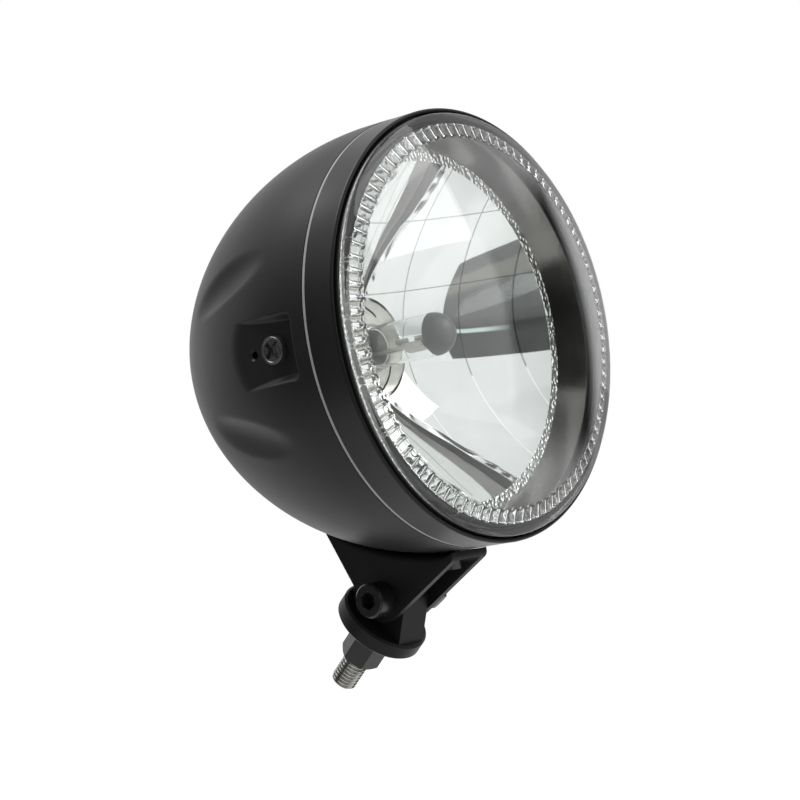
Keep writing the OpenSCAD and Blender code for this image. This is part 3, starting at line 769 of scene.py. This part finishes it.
def make_lens():
    """The glass dome with its ring of prisms, and the flange by which it is held."""
    inner = DOME_R - GLASS_WALL
    corner = dome(GLASS_R - 1.0, DOME_R)
    outside = [(r, dome(r, DOME_R)) for r in span(0, 66, 11) + span(67.5, GLASS_R - 1.0, 6)]
    edge = [
        (GLASS_R - 0.5, corner + 0.28), (GLASS_R - 0.13, corner + 0.65), (GLASS_R, corner + 1.2),
        (GLASS_R, FLANGE_FRONT)]
    flange = [
        (FLANGE_R - 0.1, FLANGE_FRONT), (FLANGE_R, FLANGE_FRONT + 0.3),
        (FLANGE_R, FLANGE_REAR - 0.3), (FLANGE_R - 0.4, FLANGE_REAR),
        (FLANGE_IN + 0.4, FLANGE_REAR), (FLANGE_IN, FLANGE_REAR - 0.4)]
    radii = (FLANGE_IN - 0.01, *span(72.6, 66.0, 14), *span(64, 0, 11))
    inside = [(r, dome(r, inner)) for r in radii]
    profile = outside + edge + flange + inside
    piece = lathe("lens_glass", profile, FLUTES * FLUTE_STEPS)
    press(piece, flute_rise, "Z")
    smooth(piece, 50)
    place(piece, LAMP)
    return hand_over(piece, "clear_glass", "lamp", "lens")


# Reflector

FOCAL = 25.0
VERTEX = 56.69
MOUTH_R = 63.0
BAND_R = 67.0
BAND_DEPTH = 17.0
WALL_FRONT = 7.0
HOLE_R = 19.5
NECK_DEPTH = 58.8
NECK_R = 24.5
FACET_RISE = 0.05
GRID = 1.6
BOWL_SHEET = 1.2
RING_SHEET = 1.1


def bowl(radius):
    """Depth of the reflector's parabola."""
    return VERTEX - radius ** 2 / (4 * FOCAL)


def grid_lines(borders, pitch):
    """Places of a grid's lines: one on each facet border, and even between."""
    lines = []
    for low, high in zip(borders, borders[1:]):
        lines += span(low, high, round((high - low) / pitch))[:-1]
    return lines + [borders[-1]]


def cell_place(value, borders):
    """Where value lies between its two borders, from -1 to 1."""
    for low, high in zip(borders, borders[1:]):
        if value <= high:
            return (2 * value - low - high) / (high - low)
    return 1.0


def facet_fall(point, normal):
    """How far a point of the flat grid is from its facet's surface."""
    u, v = cell_place(point.x, FACET_X), cell_place(-point.y, FACET_H)
    return bowl(math.hypot(point.x, point.y)) - FACET_RISE * (2 - u * u - v * v) - point.z


def trim_round(piece, radius, operation):
    """Cuts a round hole along the lamp's axis, or keeps only what lies within the round."""
    bpy.ops.mesh.primitive_cylinder_add(
        vertices=288, radius=radius * MM, depth=200 * MM, location=(0, 0, VERTEX / 2 * MM))
    combine(piece, bpy.context.object, operation)


def turned_sheet(name, profile, steps, finish, *nodes):
    """A ring of the reflector's sheet, turned from an open profile."""
    ring = lathe(name, profile, steps)
    apply_modifier(ring, "SOLIDIFY", thickness=RING_SHEET * MM, offset=1.0, use_even_offset=True)
    smooth(ring, 30)
    place(ring, LAMP)
    return hand_over(ring, "mirror_metal", "lamp", *nodes, finish=finish)


def make_reflector():
    """The faceted bowl, the band and wall in front of it, and the neck that holds the bulb."""
    columns, rows = grid_lines(FACET_X, GRID), grid_lines(FACET_H, GRID)
    piece = start_point("reflector_bowl")
    draw_line([(x, -rows[0], 0.0) for x in columns])
    bpy.ops.mesh.select_all(action="SELECT")
    for here, there in zip(rows, rows[1:]):
        bpy.ops.mesh.extrude_region_move(
            TRANSFORM_OT_translate={"value": (0, (here - there) * MM, 0)})
    tidy_mesh()
    bpy.ops.object.mode_set(mode="OBJECT")
    if piece.data.polygons[0].normal.z < 0:
        piece.data.flip_normals()
    press(piece, facet_fall, "Z")
    apply_modifier(piece, "SOLIDIFY", thickness=BOWL_SHEET * MM, offset=1.0)
    trim_round(piece, MOUTH_R, "INTERSECT")
    trim_round(piece, HOLE_R, "DIFFERENCE")
    smooth(piece, 30)
    place(piece, LAMP)
    hand_over(piece, "mirror_metal", "lamp", finish=facet_mirror())

    band = [
        (BAND_R, BAND_DEPTH), (MOUTH_R + 0.3, BAND_DEPTH), (MOUTH_R - 0.1, BAND_DEPTH + 0.25)]
    wall = [
        (77.5, WALL_FRONT), (71.9, WALL_FRONT), (71.5, WALL_FRONT + 0.15), (70.2, 9.6), (68.6, 13.4),
        (BAND_R, BAND_DEPTH)]
    neck = [(HOLE_R, bowl(HOLE_R) - 0.2), (HOLE_R, NECK_DEPTH), (NECK_R, NECK_DEPTH)]
    polished = FINISHES["mirror_metal"]
    turned_sheet("reflector_band", band, 288, stippled_mirror())
    turned_sheet("reflector_wall", wall, 288, dull_mirror())
    turned_sheet("reflector_neck", neck, 160, polished, "reflector")
    return piece


# Bracket, drawn in local XY as depth and height, with its width along local Z

SEAT_GAP = 0.3
PLATE = 3.0
HALF_W = 10.3
PIVOT_DEPTH = 58.6
PIVOT_H = -92.1
PIVOT_HOLE = 4.1
EAR_R = 9.0
FRONT = 22.4
NOSE_R = 2.8
TAIL = 81.8
BEND_R = 3.0
BEND_FADE = 6.0
BRACKET_SCREWS = (33.0, 71.0)
BRACKET_HOLE = 3.3
SIDEWAYS = Matrix(((0, 0, 1, 0), (0, -1, 0, 0), (1, 0, 0, 0), (0, 0, 0, 1)))


def underside(gap, start, end):
    """The bucket's lowest line, moved down by gap."""
    return [(d, -flank_radius(max(d, SHOULDER)) - gap) for d in span(start, end, 24)]


def bend(half, radius, seat):
    """How much the top of a folded block drops towards its sides, save at its two ends."""
    def drop(point, normal):
        top = -flank_radius(max(point.x, SHOULDER)) - seat
        if point.y < top - 0.05:
            return 0.0
        into = max(0.0, abs(point.z) - (half - radius))
        from_end = min(point.x - FRONT, TAIL - point.x)
        share = max(0.0, min(1.0, from_end / BEND_FADE))
        return (math.sqrt(max(0.0, radius ** 2 - into ** 2)) - radius) * share
    return drop


def bent_levels(half, radius):
    """Levels across a block of a given half width, close together in its rounded corners."""
    steps = [half - radius + radius * math.sin(math.radians(a)) for a in (0, 25, 50, 70, 90)]
    return [-step for step in reversed(steps)] + steps


def make_bracket():
    """A folded plate: two ears round the pivot and a web with bent corners under the bucket."""
    pivot = Vector((PIVOT_DEPTH, PIVOT_H))
    nose = Vector((FRONT + NOSE_R, -flank_radius(FRONT + NOSE_R) - 1.4))
    tail = Vector(underside(SEAT_GAP, TAIL, TAIL)[0])
    to_nose, to_tail = nose - pivot, tail - pivot
    front = math.degrees(
        math.atan2(to_nose.y, to_nose.x) + math.acos((EAR_R - NOSE_R) / to_nose.length))
    rear = math.degrees(math.atan2(to_tail.y, to_tail.x) - math.acos(EAR_R / to_tail.length))
    outline = [
        *arc(nose, NOSE_R, 180, front, 8), *arc(pivot, EAR_R, front, rear + 360, 24),
        *reversed(underside(SEAT_GAP, FRONT, TAIL))]
    piece = slab("bracket_fold", outline, bent_levels(HALF_W, BEND_R))
    press(piece, bend(HALF_W, BEND_R, SEAT_GAP), "Y")

    seat = SEAT_GAP + PLATE
    start, end, low = FRONT - 4, TAIL + 8, -120
    room = [*underside(seat, start, end), (end, low), (start, low)]
    inner = slab("bracket_room", room, bent_levels(HALF_W - PLATE, BEND_R - 1))
    press(inner, bend(HALF_W - PLATE, BEND_R - 1, seat), "Y")
    combine(piece, inner)
    bpy.ops.mesh.primitive_cylinder_add(
        vertices=48, radius=PIVOT_HOLE * MM, depth=30 * MM, location=(*(pivot * MM), 0))
    combine(piece, bpy.context.object)
    for depth in BRACKET_SCREWS:
        lean = flank_lean(depth)
        down = Vector((math.sin(lean), -math.cos(lean), 0))
        spot = Vector((depth, -flank_radius(depth), 0)) + down
        bpy.ops.mesh.primitive_cylinder_add(
            vertices=40, radius=BRACKET_HOLE * MM, depth=12 * MM, location=spot * MM,
            rotation=down.to_track_quat("Z", "Y").to_euler())
        combine(piece, bpy.context.object)
    round_edges(piece, 0.3, 55)
    smooth(piece, 35)
    place(piece, LAMP @ SIDEWAYS)
    return hand_over(piece, "bracket_paint", "lamp", "bracket")


# Stud

CREST_R = 4.99
ROOT_R = 4.12
PITCH = 1.5
THREAD_TURNS = 13
STUD_REACH = 46.0
STUD_CHAMFER = 1.3
NUT_FACE = 32.4
SHANK_TOP = 6.5


def make_stud():
    """A thread that climbs one pitch in one turn, trimmed to a chamfered bar."""
    piece = start_point("stud_thread")
    start = -STUD_REACH - 2 * PITCH
    line = []
    for i in range(THREAD_TURNS):
        crest = start + i * PITCH
        root = crest + PITCH / 2
        line += [(CREST_R, crest), (CREST_R, crest + 0.18), (ROOT_R, root), (ROOT_R, root + 0.12)]
    line.append((CREST_R, start + THREAD_TURNS * PITCH))
    draw_line([(r, 0.0, z) for r, z in line])
    bpy.ops.object.mode_set(mode="OBJECT")
    apply_modifier(
        piece, "SCREW", axis="Z", angle=2 * math.pi, screw_offset=PITCH * MM, steps=48,
        render_steps=48, use_merge_vertices=False)
    bpy.ops.object.mode_set(mode="EDIT")
    tidy_mesh()
    for level, below in ((-STUD_REACH, True), (1.5 - NUT_FACE, False)):
        bpy.ops.mesh.select_all(action="SELECT")
        bpy.ops.mesh.bisect(
            plane_co=(0, 0, level * MM), plane_no=(0, 0, 1), clear_inner=below,
            clear_outer=not below, use_fill=True)
    tidy_mesh()
    bpy.ops.object.mode_set(mode="OBJECT")
    wide, clear = 5.2, -20
    envelope = lathe("stud_envelope", [
        (0, -STUD_REACH), (wide - STUD_CHAMFER, -STUD_REACH), (wide, -STUD_REACH + STUD_CHAMFER),
        (wide, clear), (0, clear)], 64)
    combine(piece, envelope, "INTERSECT")
    hidden_r, bottom = 4.9, -NUT_FACE + 1
    shank = lathe("stud_shank", [
        (0, bottom), (hidden_r, bottom), (hidden_r, -SHANK_TOP - 1), (hidden_r - 1, -SHANK_TOP),
        (0, -SHANK_TOP)], 64)
    only(piece)
    shank.select_set(True)
    bpy.ops.object.join()
    smooth(piece, 30)
    place(piece, PIVOT_STUD)
    return hand_over(piece, "stud_steel", "mount", "stud")


make_bucket()
make_joint()
make_trim_ring()
make_side_screws()
make_lens()
make_reflector()
make_bracket()
make_stud()

# Studio

FLOOR_Z = -0.20
FLOOR_COLOUR = 0.82
FLOOR_LIFT = 0.70
MIRROR_SHARE = 0.38
WORLD_LIGHT = 0.42
BLACK_CLOTH = 0.01
PALE_WARM = (1.0, 0.98, 0.92)
STREAK_TINT = (0.86, 1.0, 0.97)
STREAK_PLACE = 0.735
STREAK_SLOPE = 0.10
CAMERA_PLACE = (-0.71383, -0.63184, 0.05259)
CAMERA_RIGHT = (0.63175, -0.75687, -0.16746)
CAMERA_UP = (0.07063, -0.15893, 0.98476)
CAMERA_BACK = (-0.77195, -0.63395, -0.04695)
CAMERA_LENS = 112.5


def floor_material():
    """A pale floor that shows white to the camera and in glass and metal, and keeps shadows."""
    finish = Finish(
        "floor_white", Base_Color=grey(FLOOR_COLOUR), Roughness=0.9, Specular_IOR_Level=0.0)
    tree = finish.tree
    camera_ray = finish.node("ShaderNodeLightPath", output="Is Camera Ray")
    glossy_ray = finish.node("ShaderNodeLightPath", output="Is Glossy Ray")
    through_ray = finish.node("ShaderNodeLightPath", output="Is Transmission Ray")
    mirrored = camera_ray.maths("MAXIMUM", camera_ray, glossy_ray)
    seen = mirrored.maths("MAXIMUM", mirrored, through_ray)
    shine = finish.blend(camera_ray, grey(MIRROR_SHARE), grey(1.0))
    finish.set(Emission_Color=shine, Emission_Strength=FLOOR_LIFT)
    mixed = finish.node("ShaderNodeMixShader", None, {0: seen})
    plain = finish.node("ShaderNodeBsdfDiffuse", None, {"Color": grey(FLOOR_COLOUR)})
    tree.links.new(plain.output, mixed.output.node.inputs[1])
    tree.links.new(finish.shader.outputs[0], mixed.output.node.inputs[2])
    tree.links.new(mixed.output, tree.nodes["Material Output"].inputs["Surface"])
    finish.material.cycles.emission_sampling = "NONE"
    return finish.material


def lay_floor():
    bpy.ops.object.select_all(action="DESELECT")
    bpy.ops.mesh.primitive_plane_add(size=14, location=(0, 0, FLOOR_Z))
    floor = bpy.context.object
    floor.name = "studio_floor"
    floor.data.materials.append(floor_material())


def light_world():
    """A white world: soft light for the object, and full white for what is seen."""
    world = bpy.data.worlds.new("studio")
    bpy.context.scene.world = world
    world.use_nodes = True
    nodes, links = world.node_tree.nodes, world.node_tree.links
    light_path = nodes.new("ShaderNodeLightPath")
    seen, reflected = nodes.new("ShaderNodeMath"), nodes.new("ShaderNodeMath")
    seen.operation = reflected.operation = "MAXIMUM"
    links.new(light_path.outputs["Is Glossy Ray"], reflected.inputs[0])
    links.new(light_path.outputs["Is Transmission Ray"], reflected.inputs[1])
    links.new(light_path.outputs["Is Camera Ray"], seen.inputs[0])
    links.new(reflected.outputs[0], seen.inputs[1])
    strength = nodes.new("ShaderNodeMix")
    strength.inputs[2].default_value = WORLD_LIGHT
    strength.inputs[3].default_value = 1.0
    links.new(seen.outputs[0], strength.inputs[0])
    links.new(strength.outputs[0], nodes["Background"].inputs["Strength"])
    nodes["Background"].inputs["Color"].default_value = (1, 1, 1, 1)


def softbox(name, location, target, size, power):
    bpy.ops.object.light_add(type="AREA", location=location)
    lamp = bpy.context.object
    lamp.name = name
    lamp.data.shape = "RECTANGLE"
    lamp.data.size, lamp.data.size_y = size
    lamp.data.energy = power
    lamp.rotation_euler = (Vector(target) - Vector(location)).to_track_quat("-Z", "Y").to_euler()


def screen(name, location, target, size):
    """A screen that only mirrors and gloss can see. Returns its finish, whose glow is its colour."""
    bpy.ops.object.select_all(action="DESELECT")
    bpy.ops.mesh.primitive_plane_add(size=1.0, location=location)
    piece = bpy.context.object
    piece.name = name
    piece.scale = (*size, 1.0)
    piece.rotation_euler = (Vector(target) - Vector(location)).to_track_quat("Z", "Y").to_euler()
    finish = Finish(
        name + "_cloth", Base_Color=grey(BLACK_CLOTH), Roughness=1.0, Specular_IOR_Level=0.0,
        Emission_Color=grey(BLACK_CLOTH), Emission_Strength=1.0)
    finish.material.cycles.emission_sampling = "NONE"
    piece.data.materials.append(finish.material)
    piece.visible_camera = piece.visible_diffuse = piece.visible_shadow = False
    return finish


def hang_side_screens():
    """Dark cloths for the bucket's gloss, and one whose edges fade for the glass and wall."""
    screen("screen_left", (-0.50, -0.17, 0.21), (0.06, -0.07, 0.21), (0.40, 0.80))
    rear = screen("screen_rear", (-0.62, 0.42, 0.15), (0, -0.05, 0.12), (0.50, 0.80))
    rear.set(Emission_Color=grey(0.05))
    right = screen("screen_right", (0.60, -0.37, 0.15), (0, -0.37, 0.15), (0.52, 0.52))
    across, upright, _ = right.axes()
    off_side = right.band(across.maths("ABSOLUTE", across), 0.36, 0.5)
    off_top = right.band(upright.maths("ABSOLUTE", upright), 0.28, 0.5)
    faded = off_side.maths("MAXIMUM", off_side, off_top)
    right.set(Emission_Color=right.blend(faded, grey(BLACK_CLOTH), grey(1.0)))


def hang_front_screen():
    """A card that only the bowl's mirror sees, with glowing bands and one bright streak: a painted
    reflection with a painted highlight.
    """
    front = screen("screen_front", (-0.17, -0.37, 0.035), (0.045, -0.05, 0.072), (0.22, 0.40))
    across, upright, _ = front.axes()
    # Painted reflection: grey and pale bands that the bowl shows as a dark box with a gradient.
    stops = (
        (0.0, grey(0.19)), (0.13, grey(0.19)), (0.17, grey(0.32, PALE_WARM)),
        (0.30, grey(0.30, PALE_WARM)), (0.36, grey(0.15)), (0.60, grey(0.12)), (0.72, grey(0.03)),
        (1.0, grey(0.015)))
    mirrored_glow = front.node("ShaderNodeValToRGB", {"stops": stops}, {0: upright + 0.5})
    # Painted highlight: one bright streak across the bands.
    off_streak = upright + 0.5 - STREAK_PLACE - across * STREAK_SLOPE
    line = front.band(off_streak.maths("ABSOLUTE", off_streak), 0.028, 0.010)
    streak = line * (1 - front.band(across, -0.08, 0.16))
    front.set(Emission_Color=front.blend(streak, mirrored_glow, grey(0.85, STREAK_TINT)))


def set_camera():
    """The camera that took the photo, as its edges and ellipses place it."""
    camera_data = bpy.data.cameras.new("photo_camera")
    camera_data.sensor_width = 36.0
    camera_data.lens = CAMERA_LENS
    camera_data.clip_start, camera_data.clip_end = 0.05, 50.0
    camera = bpy.data.objects.new("photo_camera", camera_data)
    bpy.context.scene.collection.objects.link(camera)
    rows = zip(CAMERA_RIGHT, CAMERA_UP, CAMERA_BACK, CAMERA_PLACE)
    camera.matrix_world = Matrix((*rows, (0, 0, 0, 1)))
    bpy.context.scene.camera = camera


lay_floor()
light_world()
softbox("soft_above", (-0.32, 0.35, 1.5), (0, -0.03, 0.1), (0.9, 0.9), 22)
softbox("soft_front", (0.9, -1.5, 1.15), (0, -0.05, 0.1), (1.0, 1.0), 7)
hang_side_screens()
hang_front_screen()
set_camera()
bpy.context.scene.view_settings.view_transform = "Standard"

bpy.context.view_layer.update()
